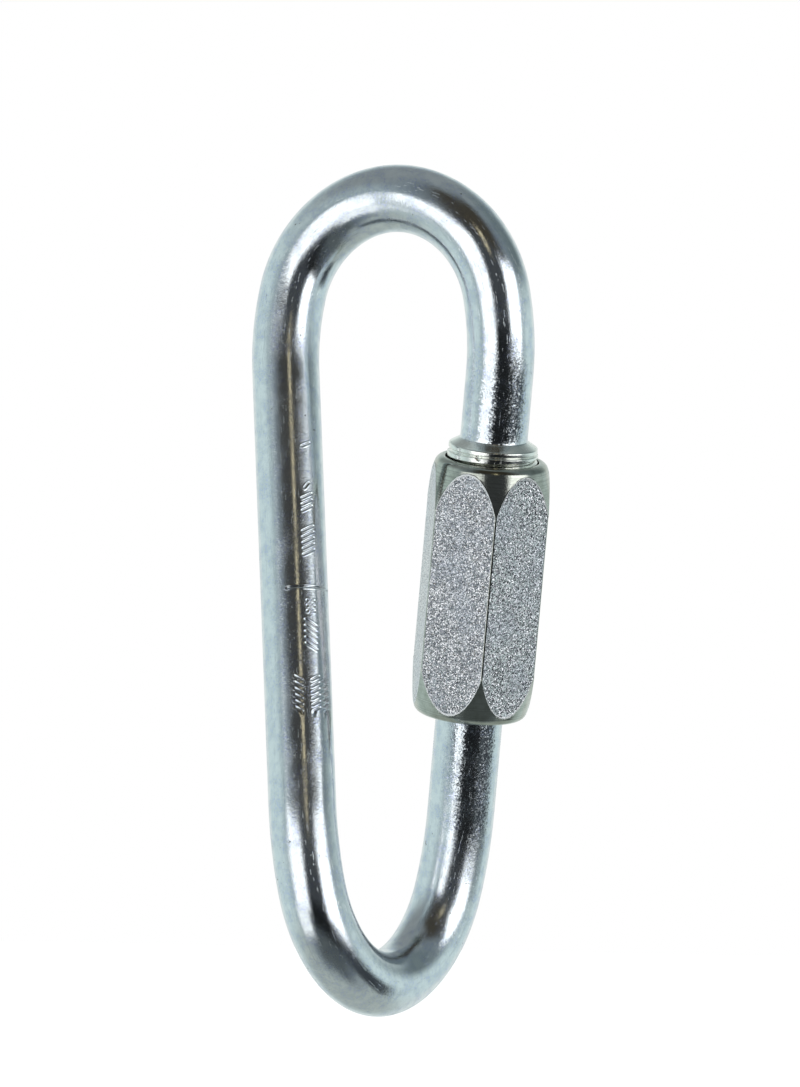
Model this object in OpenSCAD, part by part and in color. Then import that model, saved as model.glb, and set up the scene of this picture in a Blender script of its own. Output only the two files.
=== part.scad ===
// Twisted screw quick link: a round steel bar bent into a long link whose two bows stand a
// quarter turn apart, closed on one leg by a long hexagonal sleeve nut.
// Millimetres. Origin at the seat inside the upper bow, +Z along the link's length and out over
// that bow, +X towards the leg that carries the nut. Modules are drawn about mid length.

/* [Bar] */
// Diameter of the round bar
bar_d = 10; // [6:0.5:14]
// Outside length over both bows
link_l = 126.5; // [90:0.5:160]
// Distance between the two leg axes at mid length
leg_gap = 28.6; // [22:0.1:40]
// Turn from one bow to the other, measured at the bows' crowns
twist = 90; // [0:1:120]
// Part of each half bow bent at the tighter radius
crown_angle = 83; // [60:1:90]
// Centreline radius where each bow runs out into the leg
shoulder_r = 42; // [20:1:80]

/* [Thread] */
// Outside diameter of the thread on the upset ends
thread_d = 13.5; // [8:0.1:18]
// Distance from one crest to the next
pitch = 1.5; // [1:0.25:2]
// Height of the thread's crests over its roots
thread_depth = 0.8; // [0.4:0.05:1.2]
// Crests on the end below the upper bow
upper_crests = 8; // [5:1:12]
// Crests on the end above the lower bow
lower_crests = 10; // [6:1:14]
// Clear gap between the two ends
gate_gap = 13.25; // [8:0.25:18]
// Height along the leg of the upper end's tip
upper_tip = 11.25; // [6:0.25:16]

/* [Nut] */
// Length of the nut
nut_l = 39; // [28:0.5:50]
// Height along the leg of the closed nut's middle
nut_mid = 1; // [-3:0.5:3]
// Width across the nut's flats
across_flats = 17; // [12:0.5:24]
// Direction of one corner of the closed nut, from +X towards +Y
nut_clock = 22; // [0:1:59]
// Length at each end of the nut that is turned to a barrel shape
taper_l = 7.6; // [5:0.1:12]
// Radius of the barrel's slightly convex profile
barrel_r = 45; // [30:1:200]
// Diameter of the nut over its rounded rim
rim_d = 17; // [15:0.1:18]
// Radius of the rounded rim
rim_r = 1.3; // [0.5:0.1:2]
// Radial clearance between thread crests and bore
running_gap = 0.05; // [0.02:0.01:0.1]
// Wall of the threaded liner inside the nut
liner_t = 0.5; // [0.4:0.05:1]
// Length of the threaded liner
liner_l = 31; // [20:1:36]

/* [Hidden] */
$fn = 96;
eps = 0.01;
// Gap left between stretches of the bar, which a seam bridges.
trim = 0.05;
crown_z = (link_l - bar_d) / 2;
leg_x = leg_gap / 2;
half_twist = twist / 2;
lean = tan(half_twist) * leg_x / crown_z;
leg_tilt = atan(lean);
// A half bow is flat. Its plane holds the leg's line and the crown, and leans by plane_tilt.
plane_tilt = atan(lean * cos(half_twist));
// Measured in that plane: along it from the crown, and up it.
leg_along = lean * sin(half_twist) / sqrt(1 + lean * lean);
leg_up = sqrt(1 - leg_along * leg_along);
turn = atan2(leg_up, -leg_along);
axis_along = leg_x * cos(half_twist);
axis_up = -leg_x * sin(half_twist) * sin(plane_tilt) - crown_z * cos(plane_tilt);
// Distance of the crown from the leg's line, which the two arcs have to cover.
reach = axis_along * leg_up - axis_up * leg_along;
crown_reach = sin(crown_angle) * leg_up + (1 - cos(crown_angle)) * leg_along;
shoulder_reach = (sin(turn) - sin(crown_angle)) * leg_up + (cos(crown_angle) - cos(turn)) * leg_along;
crown_r = (reach - shoulder_r * shoulder_reach) / crown_reach;
arc_along = crown_r * sin(crown_angle) + shoulder_r * (sin(turn) - sin(crown_angle));
arc_up = -crown_r * (1 - cos(crown_angle)) - shoulder_r * (cos(crown_angle) - cos(turn));
leg_end_z = crown_z + arc_up * cos(plane_tilt);
leg_end = leg_end_z / cos(leg_tilt);

lower_tip = upper_tip - gate_gap;
crest_r = thread_d / 2;
root_r = crest_r - thread_depth;
crest_w = pitch * 0.3;
// The last crest is a flange, which drops to the plain bar over the shoulder's height.
flange_h = 0.8;
shoulder_h = 0.95;
threads_to_bar = flange_h + shoulder_h - pitch;
upper_end = upper_tip + pitch * upper_crests + threads_to_bar;
lower_end = lower_tip - pitch * lower_crests - threads_to_bar;
bore_r = crest_r + running_gap;
corner_d = across_flats / cos(30);
// The barrel's profile is the circle that starts at the foot and touches the rim from outside.
foot = [corner_d / 2, nut_l / 2 - taper_l];
rim_mid = [rim_d / 2 - rim_r, nut_l / 2 - rim_r];
foot_to_rim = norm(rim_mid - foot);
rise = (rim_mid - foot) / foot_to_rim;
mid_along = (barrel_r * barrel_r - pow(barrel_r - rim_r, 2) + foot_to_rim * foot_to_rim) / (2 * foot_to_rim);
mid_across = sqrt(barrel_r * barrel_r - mid_along * mid_along);
barrel_mid = foot + mid_along * rise + mid_across * [-rise[1], rise[0]];
touch = barrel_mid + barrel_r * (rim_mid - barrel_mid) / (barrel_r - rim_r);

from_seat() link_body();
from_seat() nut_thread();
from_seat() nut();

// Moves the origin from mid length to the seat inside the upper bow.
module from_seat() {
  translate([0, 0, bar_d / 2 - crown_z]) children();
}

// The bent bar, with its two upset and threaded ends facing each other.
module link_body() {
  color([0.74, 0.76, 0.78]) {
    for (flip = [0, 180]) rotate([flip, 0, 0]) {
      rotate([0, 0, -half_twist]) translate([0, 0, crown_z]) rotate([0, 90, 0]) seam();
      half_bow();
      rotate([0, 0, 180]) half_bow();
      on_leg() translate([0, 0, leg_end]) seam();
      rotate([0, 0, 180]) on_leg() translate([0, 0, leg_end]) seam();
    }
    rotate([0, 0, 180]) on_leg() rod(trim - leg_end, leg_end - trim);
    on_leg() {
      rod(upper_end, leg_end - trim);
      rod(trim - leg_end, lower_end);
      translate([0, 0, upper_tip]) threaded_end(upper_crests);
      translate([0, 0, lower_tip]) rotate([180, 0, 0]) threaded_end(lower_crests);
    }
  }
}

// Moves its children onto the leg that carries the nut, with +Z along the leg.
module on_leg() {
  translate([leg_x, 0, 0]) rotate([leg_tilt, 0, 0]) children();
}

module rod(from, to) {
  translate([0, 0, from]) cylinder(h = to - from, d = bar_d);
}

// Joins two stretches of the bar that meet end to end, a hair proud of the bar itself.
module seam() {
  cylinder(h = 8 * trim, d = bar_d + 0.04, center = true);
}

// From the crown of the upper bow down to the nut's leg: a crown arc and a wider shoulder arc.
module half_bow() {
  rotate([0, 0, -half_twist]) translate([0, 0, crown_z]) rotate([90 + plane_tilt, 0, 0]) {
    translate([0, -crown_r, 0]) {
      rotate([0, 0, 90 - crown_angle]) {
        bent_bar(crown_r, crown_angle);
        translate([crown_r, 0, 0]) rotate([90, 0, 0]) seam();
        translate([crown_r - shoulder_r, 0, 0])
          rotate([0, 0, crown_angle - turn]) bent_bar(shoulder_r, turn - crown_angle);
      }
    }
  }
}

// An arc of the bar about the origin, a trim short of its full angle at both ends.
module bent_bar(radius, angle) {
  short = asin(trim / radius);
  rotate([0, 0, short]) rotate_extrude(angle = angle - 2 * short) translate([radius, 0]) circle(d = bar_d);
}

// One threaded end, its tip at the origin and its shoulder up along +Z. The crests are
// rings at the thread's pitch, and the last one is the flange.
module threaded_end(crests) {
  flange_z = (crests - 1) * pitch;
  cylinder(h = flange_z + eps, r = root_r);
  for (i = [0 : crests - 2]) translate([0, 0, i * pitch]) crest();
  translate([0, 0, flange_z]) {
    cylinder(h = flange_h / 2, r1 = root_r, r2 = crest_r);
    translate([0, 0, flange_h / 2]) cylinder(h = flange_h / 2, r = crest_r);
    translate([0, 0, flange_h]) cylinder(h = shoulder_h, r1 = crest_r, r2 = bar_d / 2);
  }
}

module crest() {
  flank = (pitch - crest_w) / 2 - 0.1;
  translate([0, 0, 0.1]) cylinder(h = flank, r1 = root_r, r2 = crest_r);
  translate([0, 0, 0.1 + flank]) cylinder(h = crest_w, r = crest_r);
  translate([0, 0, 0.1 + flank + crest_w]) cylinder(h = flank, r1 = crest_r, r2 = root_r);
}

// The nut's bore as its own sleeve. It travels with the nut and does not turn.
module nut_thread() {
  color([0.62, 0.64, 0.66])
    on_leg() translate([0, 0, nut_mid]) tube(liner_l, bore_r + liner_t, bore_r);
}

module tube(length, outer, inner) {
  difference() {
    translate([0, 0, -length / 2]) cylinder(h = length, r = outer);
    translate([0, 0, -length / 2 - 1]) cylinder(h = length + 2, r = inner);
  }
}

// The hexagonal sleeve nut: flats cut back by a turned barrel and a rounded rim at each end.
module nut() {
  color([0.70, 0.72, 0.73])
    on_leg() translate([0, 0, nut_mid]) difference() {
      intersection() {
        rotate([0, 0, nut_clock]) translate([0, 0, -nut_l / 2]) cylinder(h = nut_l, d = corner_d, $fn = 6);
        union() {
          half_blank();
          rotate([180, 0, 0]) half_blank();
        }
      }
      translate([0, 0, -nut_l / 2 - 1]) cylinder(h = nut_l + 2, r = bore_r);
      translate([0, 0, -liner_l / 2 - running_gap])
        cylinder(h = liner_l + 2 * running_gap, r = bore_r + liner_t + running_gap);
      for (turned = [0, 180]) rotate([turned, 0, 0]) mouth();
    }
}

// Upper half of the turned blank that the flats are cut from.
module half_blank() {
  cylinder(h = foot[1], d = corner_d + 1);
  rotate_extrude() intersection() {
    translate(barrel_mid) circle(r = barrel_r, $fn = 720);
    translate([0, foot[1]]) square([corner_d, touch[1] - foot[1]]);
  }
  cylinder(h = nut_l / 2, r = rim_mid[0]);
  translate([0, 0, rim_mid[1]]) rotate_extrude() translate([rim_mid[0], 0]) circle(r = rim_r);
}

// Countersink at the mouth of the nut's bore.
module mouth() {
  translate([0, 0, nut_l / 2 - 0.4]) cylinder(h = 0.4 + eps, r1 = bore_r, r2 = bore_r + 0.4 + eps);
}
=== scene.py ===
import math

import bpy
import numpy as np
from mathutils import Matrix, Vector


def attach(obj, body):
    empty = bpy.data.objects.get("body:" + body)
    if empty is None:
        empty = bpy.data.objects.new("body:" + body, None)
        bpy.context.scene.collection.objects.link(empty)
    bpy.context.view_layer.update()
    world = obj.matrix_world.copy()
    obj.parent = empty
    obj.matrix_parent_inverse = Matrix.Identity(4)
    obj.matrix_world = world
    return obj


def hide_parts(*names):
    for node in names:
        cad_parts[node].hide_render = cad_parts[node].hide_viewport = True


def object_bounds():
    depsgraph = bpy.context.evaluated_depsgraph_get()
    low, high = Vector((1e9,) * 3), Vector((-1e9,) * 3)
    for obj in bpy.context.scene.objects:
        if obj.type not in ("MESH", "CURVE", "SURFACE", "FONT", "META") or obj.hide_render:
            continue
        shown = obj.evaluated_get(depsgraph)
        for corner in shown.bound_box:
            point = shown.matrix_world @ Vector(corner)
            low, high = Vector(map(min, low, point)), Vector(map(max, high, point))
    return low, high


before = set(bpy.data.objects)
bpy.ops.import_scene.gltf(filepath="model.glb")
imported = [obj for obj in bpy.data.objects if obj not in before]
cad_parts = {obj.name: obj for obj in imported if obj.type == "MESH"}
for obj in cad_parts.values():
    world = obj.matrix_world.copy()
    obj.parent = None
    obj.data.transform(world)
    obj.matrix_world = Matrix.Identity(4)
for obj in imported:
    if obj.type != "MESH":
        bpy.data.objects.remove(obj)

cad_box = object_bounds()

MM = 0.001
TAU = 2 * math.pi

# ---------------------------------------------------------------- the link's dimensions
# Lengths in millimetres about mid length, as in the CAD; to_frame() turns them into metres
# with the origin at the seat inside the upper bow.
BAR_R = 5.0
CROWN_Z = 58.25
LEG_X = 14.3
TWIST = math.radians(90)
CROWN_ANGLE = math.radians(83)
SHOULDER_R = 42.0

THREAD_R = 6.75
THREAD_DEPTH = 0.8
PITCH = 1.5
UPPER_TIP = 11.25
LOWER_TIP = -2.0
UPPER_CRESTS = 8
LOWER_CRESTS = 10
FLANGE_H = 0.8         # the last crest is a flange
FLANGE_R = 6.62
SHOULDER_H = 0.95      # over which the flange drops to the plain bar
LAST_GROOVE_R = 6.36   # the groove below the flange is filled and shallow
HIDDEN_FLANGE_R = 5.9  # the lower flange, low enough for the nut's thread to pass over
TIP_CHAMFER = 0.35     # how far below the thread's root each end's tip starts
THREAD_PLAY = 0.1      # radial play between the nut's thread and the ends' thread
THREAD_TURN = 0.53     # where round the leg the helix starts, as a part of a turn

NUT_L = 39.0
NUT_MID = 1.0
FLAT_R = 8.5
NUT_CLOCK = math.radians(22)
TAPER_L = 7.6
BARREL_R = 45.0
RIM_R = 1.3
RIM_MID = 7.2         # radius of the circle that the rounded rim runs along
CORNER_ROUND = 0.30
MOUTH_R = 7.0
RELIEF = 2.4          # depth of the unthreaded mouth at each end


def unit(v):
    v = np.asarray(v, float)
    return v / np.linalg.norm(v)


def to_frame(points):
    """Millimetres about mid length to metres in the row frame."""
    return (np.asarray(points, float) + [0, 0, BAR_R - CROWN_Z]) * MM


# The nut's leg leans in the plane x = LEG_X, by the amount that the twist gives it.
LEAN = math.tan(TWIST / 2) * LEG_X / CROWN_Z
LEG_UP = unit([0, -LEAN, 1])
LEG_SIDE = np.array([1.0, 0, 0])
LEG_FRONT = np.cross(LEG_UP, LEG_SIDE)
SPINE_UP = unit([0, LEAN, 1])
CROWN_ALONG = unit([math.cos(TWIST / 2), -math.sin(TWIST / 2), 0])


def bow_radius_and_leg_end():
    """The crown arc's radius, and how far along the leg the bow begins."""
    plane_up = unit(LEG_UP - (LEG_UP @ CROWN_ALONG) * CROWN_ALONG)
    along, up = LEG_UP @ CROWN_ALONG, LEG_UP @ plane_up
    turn = math.atan2(up, -along)
    leg = np.array([LEG_X, 0, -CROWN_Z])
    reach = (leg @ CROWN_ALONG) * up - (leg @ plane_up) * along
    sin_c, cos_c = math.sin(CROWN_ANGLE), math.cos(CROWN_ANGLE)
    shoulder = (math.sin(turn) - sin_c) * up + (cos_c - math.cos(turn)) * along
    crown_r = (reach - SHOULDER_R * shoulder) / (sin_c * up + (1 - cos_c) * along)
    drop = crown_r * (1 - cos_c) + SHOULDER_R * (cos_c - math.cos(turn))
    end_z = CROWN_Z - drop * plane_up[2]
    return crown_r, turn, end_z / LEG_UP[2]


CROWN_R, BOW_TURN, LEG_END = bow_radius_and_leg_end()


# ---------------------------------------------------------------- the bar's centreline
def turned(vectors, axis, angle):
    """Vectors turned about a unit axis by each angle (Rodrigues)."""
    angle = np.asarray(angle, float)[..., None]
    v = np.asarray(vectors, float)
    return (v * np.cos(angle) + np.cross(axis, v) * np.sin(angle)
            + axis * (v @ axis)[..., None] * (1 - np.cos(angle)))


class Path:
    """Straight and bent stretches end to end, each tangent to the last, with a frame that
    does not spin about the bar."""

    def __init__(self, start, tangent, side):
        self.stretches = []
        self.length = 0.0
        self.end = (np.asarray(start, float), unit(tangent), unit(side))

    def straight(self, length):
        p, t, s = self.end
        self.stretches.append((self.length, length, p, t, s, None, 0.0))
        self.length += length
        self.end = (p + t * length, t, s)

    def bend(self, radius, angle, towards):
        """Turns by angle in the plane of the present tangent and the direction towards."""
        p, t, s = self.end
        axis = unit(np.cross(t, towards))
        self.stretches.append((self.length, radius * angle, p, t, s, axis, radius))
        self.length += radius * angle
        centre = p + radius * np.cross(axis, t)
        end = centre + turned(p - centre, axis, angle)
        self.end = (end, turned(t, axis, angle), turned(s, axis, angle))

    def at(self, stations):
        """Position, tangent and side vector at each distance along the path."""
        stations = np.asarray(stations, float)
        out = np.zeros((3, len(stations), 3))
        for begin, length, p, t, s, axis, radius in self.stretches:
            here = (stations >= begin - 1e-9) & (stations <= begin + length + 1e-9)
            d = np.clip(stations[here] - begin, 0, length)
            if axis is None:
                out[0, here] = p + d[:, None] * t
                out[1, here], out[2, here] = t, s
                continue
            centre = p + radius * np.cross(axis, t)
            angle = d / radius
            out[0, here] = centre + turned(np.tile(p - centre, (len(d), 1)), axis, angle)
            out[1, here] = turned(np.tile(t, (len(d), 1)), axis, angle)
            out[2, here] = turned(np.tile(s, (len(d), 1)), axis, angle)
        return out


def on_leg(height):
    return np.array([LEG_X, 0, 0]) + height * LEG_UP


def bar_path(side):
    """From the upper threaded tip, over the upper bow, down the spine, round the lower bow
    and up to the lower threaded tip."""
    path = Path(on_leg(UPPER_TIP), LEG_UP, side)
    lower_along = CROWN_ALONG * [1, -1, 1]
    path.straight(LEG_END - UPPER_TIP)
    path.bend(SHOULDER_R, BOW_TURN - CROWN_ANGLE, -CROWN_ALONG)
    path.bend(CROWN_R, CROWN_ANGLE, -CROWN_ALONG)
    path.bend(CROWN_R, CROWN_ANGLE, -SPINE_UP)
    path.bend(SHOULDER_R, BOW_TURN - CROWN_ANGLE, -SPINE_UP)
    path.straight(2 * LEG_END)
    path.bend(SHOULDER_R, BOW_TURN - CROWN_ANGLE, lower_along)
    path.bend(CROWN_R, CROWN_ANGLE, lower_along)
    path.bend(CROWN_R, CROWN_ANGLE, LEG_UP)
    path.bend(SHOULDER_R, BOW_TURN - CROWN_ANGLE, LEG_UP)
    path.straight(LEG_END + LOWER_TIP)
    return path


SPINE_START = LEG_END - UPPER_TIP + 2 * (SHOULDER_R * (BOW_TURN - CROWN_ANGLE) + CROWN_R * CROWN_ANGLE)
SPINE_MID = SPINE_START + LEG_END


# ---------------------------------------------------------------- mesh helpers
def smooth(edge0, edge1, x):
    t = np.clip((x - edge0) / (edge1 - edge0), 0, 1)
    return t * t * (3 - 2 * t)


def grid_object(name, grid, wrap_rows=False, capped=False):
    """A smooth mesh from rows x columns of points, closed round the columns."""
    rows, cols = grid.shape[:2]
    idx = np.arange(rows * cols).reshape(rows, cols)
    lower = idx if wrap_rows else idx[:-1]
    upper = np.roll(idx, -1, 0) if wrap_rows else idx[1:]
    quads = np.stack([lower, np.roll(lower, -1, 1), np.roll(upper, -1, 1), upper], -1).reshape(-1, 4)
    faces = [tuple(q) for q in quads.tolist()]
    if capped:
        faces.append(tuple(reversed(idx[0].tolist())))
        faces.append(tuple(idx[-1].tolist()))
    mesh = bpy.data.meshes.new(name)
    mesh.from_pydata(grid.reshape(-1, 3).tolist(), [], faces)
    mesh.shade_smooth()
    mesh.validate()
    piece = bpy.data.objects.new(name, mesh)
    bpy.context.scene.collection.objects.link(piece)
    return piece


def point_attribute(piece, name, values):
    layer = piece.data.attributes.new(name, "FLOAT", "POINT")
    layer.data.foreach_set("value", np.asarray(values, np.float32).ravel())


def thread_wave(height, angle):
    """0 at the roots and 1 on the rounded crests of a right-hand helix about the leg."""
    phase = height / PITCH - angle / TAU + THREAD_TURN
    return smooth(0.04, 0.55, 0.5 + 0.5 * np.cos(TAU * phase))


# ---------------------------------------------------------------- the bar
MARK_TURN = math.radians(-77)      # the struck marks' direction round the spine, from +X
MARK_HALF = math.radians(56)       # half the angle in which the mesh is fine enough for them
MARK_DEPTH = 0.13
NICK_TURN = math.radians(-125)     # the nick in the collar's ring
NICK_Z = 21.45
NICK_DEPTH = 0.45
MARKS_FROM, MARKS_TO = -24.5, 20.0      # the fine stretch of the mesh, from mid length
MARK_REACH = 26                    # how far from mid length the marks are looked for
COLLAR_END = 23.2, 23.8            # heights over which the collar's smooth finish ends
NEAR_NUT_END = 30, 42              # and the coarse finish beside the nut, above and below it
LEG_REACH = 4                      # how far sideways from the nut's leg the bar is still near it
THREAD_STEP, MARK_STEP, PLAIN_STEP = 0.07, 0.11, 0.55   # distances between the mesh's rings


def bar_angles():
    """Angles round the bar, close together where the struck marks are."""
    marks = np.linspace(-MARK_HALF, MARK_HALF, 86)
    rest = np.linspace(MARK_HALF, TAU - MARK_HALF, 74)[1:-1]
    return np.concatenate([marks, rest])


def bar_stations(path):
    """Distances along the bar: close together on the threads and the struck marks."""
    upper = UPPER_CRESTS * PITCH + 0.4
    lower = path.length - (LOWER_CRESTS * PITCH + 0.4)
    marks = (SPINE_MID + MARKS_FROM, SPINE_MID + MARKS_TO)
    parts = [(0, upper, THREAD_STEP), (upper, marks[0], PLAIN_STEP), (*marks, MARK_STEP),
             (marks[1], lower, PLAIN_STEP), (lower, path.length, THREAD_STEP)]
    runs = [np.linspace(a, b, max(2, round((b - a) / step)), endpoint=False) for a, b, step in parts]
    return np.append(np.concatenate(runs), path.length)


def struck_marks():
    """Plain dots and slanted hatching struck into the spine, as (along, across, along,
    across) in millimetres from mid length. They stand for stamps and spell nothing."""
    strokes = [(-21.0, -0.8, -20.4, 0.5), (-14.8, -0.4, -14.0, 0.3), (0.95, -4.4, 1.25, 3.6)]

    def hatch(along, count, gap, slant, across=0.0, reach=0.8):
        for i in range(count):
            a = along + i * gap
            strokes.append((a - slant, across - reach, a + slant, across + reach))

    def dots(along, across, count, gap):
        for i in range(count):
            strokes.append((along + i * gap, across, along + i * gap + 0.05, across))

    hatch(-12.8, 3, 0.95, 0.40)
    hatch(-7.8, 5, 0.90, 0.45, reach=0.9)
    for across in (-0.6, 0.6):
        dots(3.2, across, 3, 0.8)
    hatch(6.6, 5, 0.90, -0.45, across=0.1, reach=0.9)
    for across, slant in ((-2.3, 0.32), (-0.3, 0.32), (2.4, -0.32)):
        hatch(15.0, 6, 0.95, slant, across=across, reach=0.6)
    return strokes


def mark_depth(along, across):
    """How deep the struck marks go at each place, 0 to 1, with a low ridge thrown up
    beside each stroke."""
    nearest = np.full(along.shape, 9.0)
    for a0, c0, a1, c1 in struck_marks():
        line = np.array([a1 - a0, c1 - c0])
        t = np.clip(((along - a0) * line[0] + (across - c0) * line[1]) / (line @ line), 0, 1)
        nearest = np.minimum(nearest, np.hypot(along - a0 - t * line[0], across - c0 - t * line[1]))
    ridge = 1 - smooth(0.0, 0.10, np.abs(nearest - 0.25))
    return 1 - smooth(0.03, 0.18, nearest) - 0.25 * ridge


def soft_min(a, b, blend):
    return 0.5 * (a + b - np.sqrt((a - b) ** 2 + blend ** 2))


def end_radius(height, angle, tip, crests, up, groove_r, flange_r):
    """Radius of a threaded end at each height along the leg; up is +1 for the end whose
    shoulder lies above its tip. Below the flange the thread's groove fills to groove_r."""
    from_tip = (height - tip) * up
    root = THREAD_R - THREAD_DEPTH
    flange = (crests - 1) * PITCH
    filled = root + (groove_r - root) * smooth(flange - 2.4, flange - 1.2, from_tip)
    thread = np.maximum(root + THREAD_DEPTH * thread_wave(height, angle), filled)
    thread += (groove_r - thread) * smooth(flange - 0.16, flange + 0.06, from_tip)
    thread += (flange_r - groove_r) * smooth(flange + 0.02, flange + 0.22, from_tip)
    thread = np.minimum(thread, root - TIP_CHAMFER + np.maximum(from_tip, 0))
    cone = flange_r - (flange_r - BAR_R) * (from_tip - flange - FLANGE_H) / SHOULDER_H
    shoulder = -soft_min(-soft_min(flange_r, cone, 0.12), -BAR_R, 0.16)
    return np.where(from_tip < flange + 0.3, thread, shoulder)


def make_bar():
    side = marks_side()
    path = bar_path(side)
    stations = bar_stations(path)
    angles = bar_angles()
    centre, tangent, ref = path.at(stations)
    other = np.cross(tangent, ref)
    out = ref[:, None] * np.cos(angles)[None, :, None] + other[:, None] * np.sin(angles)[None, :, None]
    radius = np.full(out.shape[:2], BAR_R)

    height = (centre - [LEG_X, 0, 0]) @ LEG_UP
    around = np.arctan2(out @ LEG_FRONT, out @ LEG_SIDE)
    tall = np.repeat(height[:, None], len(angles), 1)
    first = stations < LEG_END - UPPER_TIP
    last = stations > path.length - (LEG_END + LOWER_TIP)
    radius[first] = end_radius(tall[first], around[first], UPPER_TIP, UPPER_CRESTS, 1,
                               LAST_GROOVE_R, FLANGE_R)
    radius[last] = end_radius(tall[last], around[last], LOWER_TIP, LOWER_CRESTS, -1,
                              HIDDEN_FLANGE_R, HIDDEN_FLANGE_R)

    along = np.repeat((stations - SPINE_MID)[:, None], len(angles), 1)
    across = np.repeat((((angles + math.pi) % TAU) - math.pi)[None] * BAR_R, len(stations), 0)
    struck = np.where(np.abs(along) < MARK_REACH, mark_depth(along, across), 0)
    struck[first | last] = 0
    radius -= MARK_DEPTH * struck

    # A small slanting nick in the ring that shows above the nut.
    from_nick = np.where(first[:, None], around - NICK_TURN, 9) * THREAD_R
    nick = np.hypot(tall - NICK_Z + 0.75 * from_nick, 0.45 * from_nick)
    radius -= NICK_DEPTH * (1 - smooth(0.05, 0.20, nick))

    bar = grid_object("link_bar", to_frame(centre[:, None] + out * radius[..., None]), capped=True)
    point_attribute(bar, "along", np.repeat(stations[:, None], len(angles), 1))
    point_attribute(bar, "struck", struck)
    on_nut_leg = np.abs(centre[:, 0] - LEG_X) < LEG_REACH
    collar = on_nut_leg * smooth(0, 1, height) * (1 - smooth(*COLLAR_END, height))
    near_nut = on_nut_leg * (1 - collar) * (1 - smooth(*NEAR_NUT_END, np.abs(height)))
    point_attribute(bar, "collar", np.repeat(collar[:, None], len(angles), 1))
    point_attribute(bar, "near_nut", np.repeat(near_nut[:, None], len(angles), 1))
    point_attribute(bar, "side_a", np.repeat(BAR_R * np.cos(angles)[None], len(stations), 0))
    point_attribute(bar, "side_b", np.repeat(BAR_R * np.sin(angles)[None], len(stations), 0))
    return bar


def marks_side():
    """The side vector to start the path with, so that it points at the struck marks once it
    has been carried round to the spine."""
    wanted = np.array([math.cos(MARK_TURN), math.sin(MARK_TURN), 0])
    wanted = unit(wanted - (wanted @ SPINE_UP) * SPINE_UP)
    probe = bar_path(LEG_SIDE)
    _, tangent, carried = probe.at([SPINE_MID])
    spin = math.atan2(np.cross(carried[0], wanted) @ tangent[0], carried[0] @ wanted)
    return turned(LEG_SIDE, LEG_UP, spin)


# ---------------------------------------------------------------- the nut
BURR = 0.035          # how proud the edge of each flat stands
BURR_WIDTH = 0.15
SIDE_POINTS = 17      # mesh points across each flat
THREAD_ROWS = 300     # rings of mesh in the bore
TURNED, FLAT, EDGE = 0, 1, 2     # the nut's materials, in their slots' order

RIM_TOP = NUT_L / 2
FOOT = np.array([FLAT_R / math.cos(math.pi / 6), RIM_TOP - TAPER_L])
RIM_CENTRE = np.array([RIM_MID, RIM_TOP - RIM_R])


def barrel_centre():
    """Centre of the barrel's profile: the circle from the foot that touches the rim."""
    chord = RIM_CENTRE - FOOT
    length = np.hypot(*chord)
    rise = chord / length
    along = (BARREL_R ** 2 - (BARREL_R - RIM_R) ** 2 + length ** 2) / (2 * length)
    across = math.sqrt(BARREL_R ** 2 - along ** 2)
    return FOOT + along * rise + across * np.array([-rise[1], rise[0]])


BARREL_MID = barrel_centre()
RIM_START = math.atan2(*(RIM_CENTRE - BARREL_MID)[::-1])
TOUCH_Z = RIM_CENTRE[1] + RIM_R * math.sin(RIM_START)


def barrel_radius(z):
    return BARREL_MID[0] + np.sqrt(BARREL_R ** 2 - (z - BARREL_MID[1]) ** 2)


def barrel_height(radius):
    return BARREL_MID[1] + np.sqrt(BARREL_R ** 2 - (radius - BARREL_MID[0]) ** 2)


def hex_outline():
    """One turn of the nut's rounded hexagon: each point's distance from the axis and angle."""
    half_flat = (FLAT_R - CORNER_ROUND) * math.tan(math.pi / 6)
    points = []
    for side in range(6):
        turn = NUT_CLOCK + (side + 0.5) * TAU / 6
        normal = np.array([math.cos(turn), math.sin(turn)])
        along = np.array([-normal[1], normal[0]])
        for t in np.sin((np.linspace(0, 1, SIDE_POINTS) - 0.5) * math.pi) * half_flat:
            points.append(FLAT_R * normal + t * along)
        corner = (FLAT_R - CORNER_ROUND) * normal + half_flat * along
        for turn_by in np.linspace(0, math.pi / 3, 7)[1:-1]:
            a = turn + turn_by
            points.append(corner + CORNER_ROUND * np.array([math.cos(a), math.sin(a)]))
    points = np.array(points)
    return np.hypot(*points.T), np.unwrap(np.arctan2(points[:, 1], points[:, 0]))


def nut_half(radius):
    """Rows from just above mid length to the mouth: distance from the axis and height for
    each outline point, and the material of the faces that start at the row."""
    rows = []
    top = np.clip(barrel_height(radius), FOOT[1], TOUCH_Z - 0.1)
    for t in (0.04, 0.3, 0.55, 0.75, 0.88, 0.95):
        rows.append((radius, top * t, FLAT))
    rows.append((radius, top - 2 * BURR_WIDTH, EDGE))
    rows.append((radius + BURR * 0.7, top - BURR_WIDTH, EDGE))
    rows.append((radius + BURR, top - BURR_WIDTH / 2, EDGE))
    rows.append((radius + BURR * 0.4, top, TURNED))
    for t in (0.03, 0.12, 0.3, 0.5, 0.7, 0.85, 0.95, 1.0):
        z = np.minimum(top + (TOUCH_Z - top) * t + (BURR_WIDTH / 2 if t == 0.03 else 0), TOUCH_Z)
        rows.append((np.minimum(radius, barrel_radius(z)), z, TURNED))
    one = np.ones_like(radius)
    for a in np.linspace(RIM_START, math.pi / 2, 12)[1:]:
        r, z = RIM_MID + RIM_R * math.cos(a), RIM_CENTRE[1] + RIM_R * math.sin(a)
        rows.append((r * one, z * one, TURNED))
    rows.append((MOUTH_R * one, (RIM_TOP - 0.03) * one, TURNED))
    return rows


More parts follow.
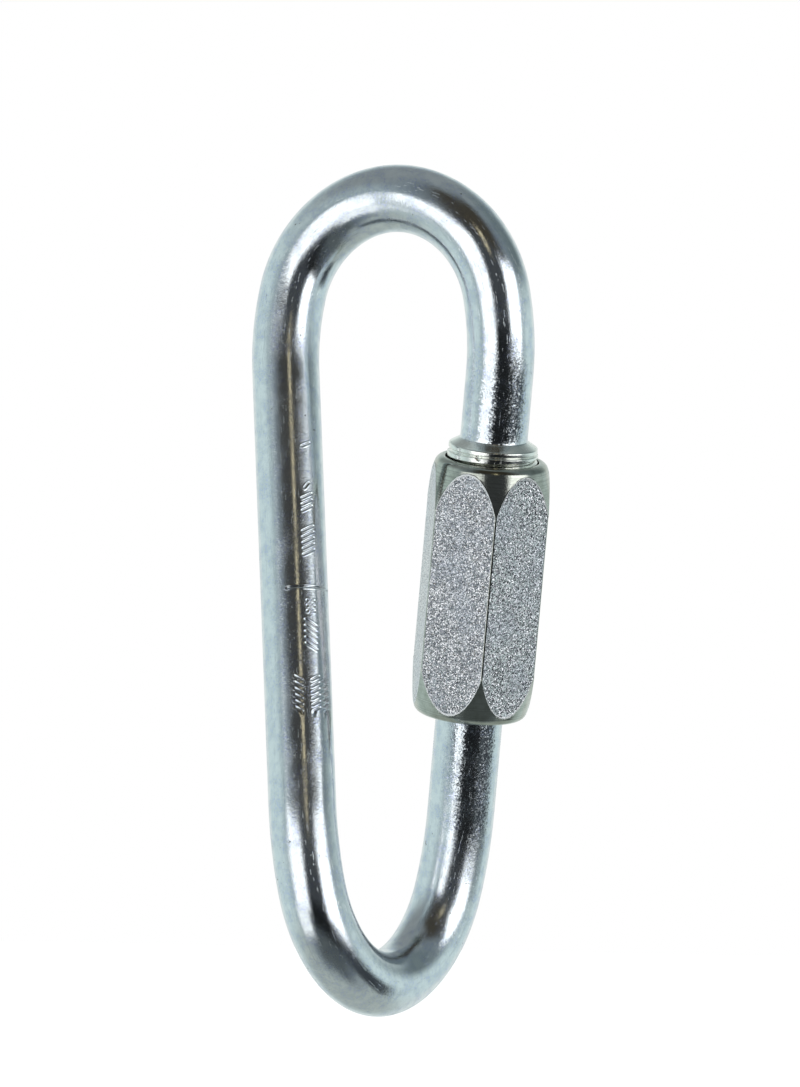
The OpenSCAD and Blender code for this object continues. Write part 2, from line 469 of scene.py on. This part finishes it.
def make_nut():
    radius, angle = hex_outline()
    upper = nut_half(radius)
    # A row's finish is that of the faces after it, so it moves back one row when mirrored.
    finishes = [row[2] for row in upper[-2::-1] + upper[:1]]
    lower = [(r, -z, finish) for (r, z, _), finish in zip(upper[::-1], finishes)]
    rows = lower + upper
    for z in np.linspace(RIM_TOP - 0.08, -RIM_TOP + 0.08, THREAD_ROWS):
        height = np.full_like(radius, z + NUT_MID)
        cut = THREAD_R - THREAD_DEPTH + THREAD_PLAY + THREAD_DEPTH * thread_wave(height, angle)
        mouth = MOUTH_R - max(RIM_TOP - abs(z) - RELIEF, 0.0)
        rows.append((np.maximum(cut, mouth), np.full_like(radius, z), TURNED))
    around = LEG_SIDE * np.cos(angle)[:, None] + LEG_FRONT * np.sin(angle)[:, None]
    r, z = (np.array([row[k] for row in rows])[..., None] for k in (0, 1))
    nut = grid_object("nut_sleeve", to_frame(on_leg(NUT_MID) + around * r + z * LEG_UP), wrap_rows=True)
    for material in (turned_end(), grained_flat(), painted_highlight_edge()):
        nut.data.materials.append(material)
    # The rounded corners between the flats are turned metal too.
    finish = np.repeat(np.array([row[2] for row in rows])[:, None], len(radius), 1)
    corner = np.arange(len(radius)) % (len(radius) // 6) >= SIDE_POINTS - 1
    finish[:, corner] = TURNED
    nut.data.polygons.foreach_set("material_index", finish.ravel().astype(np.int32))
    return nut


# ---------------------------------------------------------------- materials
class Nodes:
    """A short way to write a node tree."""

    def __init__(self, tree):
        self.tree = tree
        tree.nodes.clear()

    def add(self, kind, **inputs):
        made = self.tree.nodes.new("ShaderNode" + kind)
        for key, value in inputs.items():
            key = key.replace("_", " ")
            if key in made.inputs:
                self.put(made.inputs[key], value)
            else:
                setattr(made, key.replace(" ", "_"), value)
        return made

    def put(self, socket, value):
        if isinstance(value, bpy.types.NodeSocket):
            self.tree.links.new(value, socket)
        else:
            socket.default_value = value

    def math(self, operation, a, b=0.0, clamp=False):
        made = self.tree.nodes.new("ShaderNodeMath")
        made.operation, made.use_clamp = operation, clamp
        self.put(made.inputs[0], a)
        self.put(made.inputs[1], b)
        return made.outputs[0]

    def ramp(self, value, low, high, to_low=0.0, to_high=1.0, soft=True):
        made = self.tree.nodes.new("ShaderNodeMapRange")
        made.interpolation_type = "SMOOTHSTEP" if soft else "LINEAR"
        for socket, v in zip(made.inputs[:5], (value, low, high, to_low, to_high)):
            self.put(socket, v)
        return made.outputs[0]

    def mix(self, factor, a, b, blend="MIX"):
        made = self.tree.nodes.new("ShaderNodeMix")
        made.data_type, made.blend_type = "RGBA", blend
        self.put(made.inputs[0], factor)
        self.put(made.inputs[6], a)
        self.put(made.inputs[7], b)
        return made.outputs[2]

    def noise(self, vector, size_mm, detail=3.0, rough=0.55):
        scale = 1000.0 / size_mm
        made = self.add("TexNoise", Vector=vector, Scale=scale, Detail=detail, Roughness=rough)
        return made.outputs["Fac"]

    def value(self, attribute):
        return self.add("Attribute", attribute_name=attribute).outputs["Fac"]

    def dot(self, vector, direction):
        made = self.tree.nodes.new("ShaderNodeVectorMath")
        made.operation = "DOT_PRODUCT"
        self.put(made.inputs[0], vector)
        made.inputs[1].default_value = tuple(float(x) for x in direction)
        return made.outputs["Value"]

    def distance_from_line(self, place, start, direction):
        """How far each place is from the line through start along a unit direction."""
        offset = self.add("VectorMath", operation="SUBTRACT")
        self.put(offset.inputs[0], place)
        offset.inputs[1].default_value = tuple(float(x) for x in start)
        across = self.add("VectorMath", operation="CROSS_PRODUCT")
        self.put(across.inputs[0], offset.outputs[0])
        across.inputs[1].default_value = tuple(float(x) for x in direction)
        length = self.add("VectorMath", operation="LENGTH")
        self.put(length.inputs[0], across.outputs[0])
        return length.outputs["Value"]

    def facets(self, place, size_mm, tilt, strength=1.0):
        """A normal tilted differently in each small cell, so that the surface glitters, and a
        value of the cell's own."""
        cell = self.add("TexVoronoi", Vector=place, Scale=1000.0 / size_mm).outputs["Color"]
        tilted = self.tree.nodes.new("ShaderNodeVectorMath")
        tilted.operation = "MULTIPLY_ADD"
        self.put(tilted.inputs[0], cell)
        tilted.inputs[1].default_value = (tilt, tilt, tilt)
        tilted.inputs[2].default_value = (-tilt / 2, -tilt / 2, -tilt / 2)
        scaled = self.tree.nodes.new("ShaderNodeVectorMath")
        scaled.operation = "SCALE"
        self.put(scaled.inputs[0], tilted.outputs[0])
        self.put(scaled.inputs["Scale"], strength)
        added = self.tree.nodes.new("ShaderNodeVectorMath")
        self.put(added.inputs[0], scaled.outputs[0])
        self.put(added.inputs[1], self.add("NewGeometry").outputs["Normal"])
        made = self.tree.nodes.new("ShaderNodeVectorMath")
        made.operation = "NORMALIZE"
        self.put(made.inputs[0], added.outputs[0])
        return made.outputs[0], self.add("SeparateColor", Color=cell).outputs[0]

    def bump(self, height, depth_mm, strength=1.0, normal=None):
        made = self.add("Bump", Height=height, Strength=strength, Distance=depth_mm * MM)
        if normal is not None:
            self.put(made.inputs["Normal"], normal)
        return made.outputs[0]


def new_material(name):
    material = bpy.data.materials.new(name)
    material.use_nodes = True
    return material, Nodes(material.node_tree)


def finish_metal(n, colour, roughness, normal):
    shader = n.add("BsdfPrincipled", Metallic=1.0, Roughness=roughness, Normal=normal)
    n.put(shader.inputs["Base Color"], colour)
    out = n.add("OutputMaterial")
    n.put(out.inputs["Surface"], shader.outputs[0])


def plated_bar():
    """Bright zinc plate: mottled, finely grained, with lengthwise scratches and a few pits.
    It is coarser beside the nut, and smooth on the collar."""
    material, n = new_material("plated_bar")
    place = n.add("TexCoord").outputs["Object"]
    along = n.math("MULTIPLY", n.value("along"), 0.09)
    # In millimetres and drawn out along the bar, so that here a size of 330 is 0.33 mm across.
    drawn = n.add("CombineXYZ", X=along, Y=n.value("side_a"), Z=n.value("side_b")).outputs[0]
    streak = n.noise(drawn, 330, 3, 0.65)
    scratch = n.ramp(n.noise(drawn, 190, 2, 0.5), 0.655, 0.70)
    mottle = n.noise(place, 2.2, 4, 0.6)
    patches = n.noise(place, 9.0, 3, 0.6)
    grain = n.noise(place, 0.50, 3, 0.7)
    fine = n.noise(place, 0.19, 2, 0.6)
    specks = n.ramp(n.noise(place, 0.62, 2, 0.5), 0.70, 0.735)
    speck = n.math("MULTIPLY", specks, n.ramp(patches, 0.50, 0.62))
    struck = n.ramp(n.value("struck"), 0.25, 0.9)

    colour = n.mix(n.ramp(mottle, 0.32, 0.70), (0.84, 0.88, 0.89, 1), (0.70, 0.75, 0.78, 1))
    near_nut = n.value("near_nut")
    coarse = n.math("ADD", n.math("MULTIPLY", near_nut, 0.75), n.ramp(mottle, 0.45, 0.65, 0.08, 0.30))
    facet, cell = n.facets(place, 0.20, 0.16, coarse)
    blue = n.math("MULTIPLY", n.ramp(cell, 0.60, 0.80), n.ramp(mottle, 0.42, 0.62, 0.05, 0.45))
    colour = n.mix(blue, colour, (0.58, 0.63, 0.92, 1))
    colour = n.mix(n.ramp(streak, 0.55, 0.72, 0.0, 0.30), colour, (0.52, 0.55, 0.57, 1))
    colour = n.mix(n.math("MULTIPLY", speck, 0.75), colour, (0.15, 0.15, 0.13, 1))
    colour = n.mix(n.math("MULTIPLY", struck, 0.25), colour, (0.50, 0.52, 0.53, 1))
    colour = n.mix(n.value("collar"), colour, (0.93, 0.94, 0.88, 1))
    rough = n.ramp(mottle, 0.30, 0.75, 0.10, 0.19)
    rough = n.math("ADD", rough, n.ramp(patches, 0.42, 0.68, 0.0, 0.09))
    rough = n.math("ADD", rough, n.math("MULTIPLY", speck, 0.3), clamp=True)
    normal = n.bump(fine, 0.0075, normal=facet)
    normal = n.bump(grain, 0.011, normal=normal)
    normal = n.bump(n.math("ADD", n.math("MULTIPLY", streak, 0.5), scratch), 0.008, normal=normal)
    finish_metal(n, colour, rough, normal)
    return material


def grained_flat():
    """The nut's flats: zinc over a coarse blasted grain that glitters, rubbed in places."""
    material, n = new_material("grained_flat")
    place = n.add("TexCoord").outputs["Object"]
    facet, cell = n.facets(place, 0.135, 0.90)
    broad = n.noise(place, 6.0, 3)
    rub = n.ramp(n.noise(place, 3.0, 4, 0.7), 0.54, 0.70, 0.0, 0.55)
    colour = n.mix(n.ramp(cell, 0.05, 0.70), (0.24, 0.24, 0.28, 1), (0.98, 0.98, 0.98, 1))
    colour = n.mix(n.ramp(broad, 0.45, 0.65, 0, 0.3), colour, (0.66, 0.70, 0.80, 1))
    colour = n.mix(rub, colour, (0.92, 0.94, 0.94, 1))
    rough = n.ramp(broad, 0.3, 0.7, 0.24, 0.34)
    normal = n.bump(n.noise(place, 0.28, 2, 0.7), 0.025, normal=facet)
    finish_metal(n, colour, rough, normal)
    return material


def painted_highlight_edge():
    """The thin burr round each flat, coloured pale in patches as a painted highlight along each flat's
    edge.
    """
    material, n = new_material("painted_highlight_edge")
    place = n.add("TexCoord").outputs["Object"]
    edge_glint_paint = n.ramp(n.noise(place, 0.7, 2), 0.35, 0.65)
    # Painted highlight: the burr's colour runs from pale grey to nearly white in patches, standing for
    # the bright line of light along each flat's edge.
    colour = n.mix(edge_glint_paint, (0.78, 0.79, 0.79, 1), (0.97, 0.97, 0.96, 1))
    finish_metal(n, colour, n.ramp(edge_glint_paint, 0.0, 1.0, 0.45, 0.60), n.bump(edge_glint_paint, 0.01))
    return material


def turned_end():
    """The nut's turned ends, rim and bore, with fine rings cut round the nut's axis."""
    material, n = new_material("turned_end")
    place = n.add("TexCoord").outputs["Object"]
    from_axis = n.distance_from_line(place, to_frame(on_leg(0)), LEG_UP)
    cut_at = n.math("ADD", n.dot(place, LEG_UP), from_axis)
    ring_noise = n.add("TexNoise", noise_dimensions="1D", W=cut_at, Scale=1000 / 0.22, Detail=3.0)
    rings = ring_noise.outputs["Fac"]
    mottle = n.noise(place, 1.6, 4, 0.65)
    flecks = n.noise(place, 0.24, 2, 0.6)
    colour = n.mix(n.ramp(mottle, 0.35, 0.7), (0.56, 0.58, 0.52, 1), (0.41, 0.43, 0.37, 1))
    colour = n.mix(n.ramp(rings, 0.48, 0.68, 0, 0.55), colour, (0.34, 0.35, 0.32, 1))
    rough = n.math("ADD", n.ramp(mottle, 0.3, 0.7, 0.07, 0.15), n.ramp(rings, 0.4, 0.8, 0.0, 0.06))
    normal = n.bump(rings, 0.012)
    normal = n.bump(flecks, 0.009, normal=normal)
    finish_metal(n, colour, rough, normal)
    return material


# ---------------------------------------------------------------- camera and studio
VIEW_AZIMUTH = math.radians(-15.1)     # 0 looks along +Y
VIEW_ELEVATION = math.radians(-1.56)
VIEW_ROLL = math.radians(1.34)
VIEW_DISTANCE = 1.5
VIEW_HEIGHT = 0.16126                  # what the frame covers from top to bottom, at the link
AIM_RIGHT, AIM_UP = 1.87 * MM, 6.94 * MM    # from mid length to the middle of the frame

look = unit([-math.sin(VIEW_AZIMUTH) * math.cos(VIEW_ELEVATION),
             math.cos(VIEW_AZIMUTH) * math.cos(VIEW_ELEVATION), -math.sin(VIEW_ELEVATION)])
flat_right = unit(np.cross(look, [0, 0, 1]))
view_right = turned(flat_right, look, -VIEW_ROLL)
view_up = np.cross(view_right, look)


def make_camera():
    data = bpy.data.cameras.new("camera")
    data.sensor_fit = "VERTICAL"
    data.angle = 2 * math.atan(VIEW_HEIGHT / 2 / VIEW_DISTANCE)
    data.clip_start, data.clip_end = 0.05, 20
    camera = bpy.data.objects.new("camera", data)
    bpy.context.scene.collection.objects.link(camera)
    aim = to_frame([0, 0, 0]) + AIM_RIGHT * view_right + AIM_UP * view_up
    camera.matrix_world = Matrix.LocRotScale(
        Vector(aim - VIEW_DISTANCE * look),
        Matrix([view_right, view_up, -look]).transposed().to_quaternion(), None)
    bpy.context.scene.camera = camera


# What stands round the link, as (colour, azimuth, elevation). Azimuth is 0 towards the
# camera and grows to the right. Each angle is (middle, half width, softness of the edge) in
# degrees, and a later patch covers an earlier one.
TENT = ((0.62, 0.74, 0.75), (0.25, 0.28, 0.29), (0.42, 0.47, 0.45))     # level, above, below
TENT_FADE = 15, 50         # how far above or below level one turns into the next
STUDIO = (
    ((0.15, 0.19, 0.20), (100, 40, 40), (35, 25, 22)),        # dim corner, upper right
    ((0.20, 0.24, 0.27), (8, 75, 50), (0, 75, 40)),           # the open front of the tent
    ((0.050, 0.044, 0.034), (12, 48, 36), (45, 28, 20)),      # dark room beyond it
    ((0.055, 0.060, 0.066), (9, 37, 24), (4, 26, 16)),        # and straight ahead
    ((0.090, 0.105, 0.110), (14, 50, 40), (-45, 25, 20)),     # dim floor in front of the link
    ((0.010, 0.011, 0.012), (18, 36, 24), (-22, 12, 10)),     # black edge of the floor
    ((0.045, 0.052, 0.060), (85, 28, 16), (-27, 13, 12)),     # floor shadow, lower right
    ((1.08, 1.12, 1.14), (-46, 21, 12), (-31, 11, 9)),        # glow under the left soft box
    ((1.45, 1.49, 1.53), (-37, 22, 12), (-1, 19, 9)),         # left soft box
    ((2.00, 2.05, 2.10), (57, 20, 12), (4, 17, 10)),          # right soft box
    ((0.90, 0.78, 0.52), (13, 3, 3), (30, 8, 6)),             # a warm lamp in the room
)
BACK_LIGHT = (0.76, 0.82, 0.81)
BACK_FADE = 130, 150       # azimuths, either way round, over which the back light begins
BACK_ELEVATION = (-2, 26, 18)


def make_world():
    """A pale tent, open to a dark room on the camera's side, with a soft box each side."""
    world = bpy.data.worlds.new("studio")
    bpy.context.scene.world = world
    world.use_nodes = True
    n = Nodes(world.node_tree)
    ray = n.add("TexCoord").outputs["Generated"]
    azimuth = n.math("ARCTAN2", n.dot(ray, view_right), n.dot(ray, -look))
    elevation = n.math("ARCSINE", n.dot(ray, view_up))

    def window(value, centre, half, soft):
        off = n.math("ABSOLUTE", n.math("SUBTRACT", value, math.radians(centre)))
        return n.ramp(off, math.radians(half - soft / 2), math.radians(half + soft / 2), 1.0, 0.0)

    level, above, below = ((*c, 1) for c in TENT)
    near, far = (math.radians(angle) for angle in TENT_FADE)
    colour = n.mix(n.ramp(elevation, near, far), level, above)
    colour = n.mix(n.ramp(elevation, -near, -far), colour, below)
    behind = n.ramp(n.math("ABSOLUTE", azimuth), *(math.radians(angle) for angle in BACK_FADE))
    behind = n.math("MULTIPLY", behind, window(elevation, *BACK_ELEVATION))
    colour = n.mix(behind, colour, (*BACK_LIGHT, 1))
    for paint, az, el in STUDIO:
        mask = n.math("MULTIPLY", window(azimuth, *az), window(elevation, *el))
        colour = n.mix(mask, colour, (*paint, 1))
    seen = n.add("LightPath").outputs["Is Camera Ray"]
    colour = n.mix(seen, colour, (1, 1, 1, 1))
    n.put(n.add("OutputWorld").inputs["Surface"], n.add("Background", Color=colour).outputs[0])


def make_floor():
    size, drop = 3.0, 0.03
    z = cad_box_low_z() - drop
    corners = [(-size, -size, z), (size, -size, z), (size, size, z), (-size, size, z)]
    mesh = bpy.data.meshes.new("floor")
    mesh.from_pydata(corners, [], [(0, 1, 2, 3)])
    floor = bpy.data.objects.new("floor", mesh)
    bpy.context.scene.collection.objects.link(floor)
    floor.visible_glossy = False
    material, n = new_material("floor_pale")
    shader = n.add("BsdfPrincipled", Roughness=0.9)
    shader.inputs["Base Color"].default_value = (0.9, 0.9, 0.9, 1)
    shader.inputs["Emission Color"].default_value = (1, 1, 1, 1)
    shader.inputs["Emission Strength"].default_value = 0.85
    n.put(n.add("OutputMaterial").inputs["Surface"], shader.outputs[0])
    mesh.materials.append(material)


def cad_box_low_z():
    return min(float(v[2]) for v in cad_box)


# ---------------------------------------------------------------- build
make_camera()
make_world()
make_floor()
bpy.context.scene.view_settings.view_transform = "Standard"

bar = make_bar()
bar.data.materials.append(plated_bar())
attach(bar, "link")
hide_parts("link_body")

nut = make_nut()
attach(nut, "nut")
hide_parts("nut", "nut_thread")
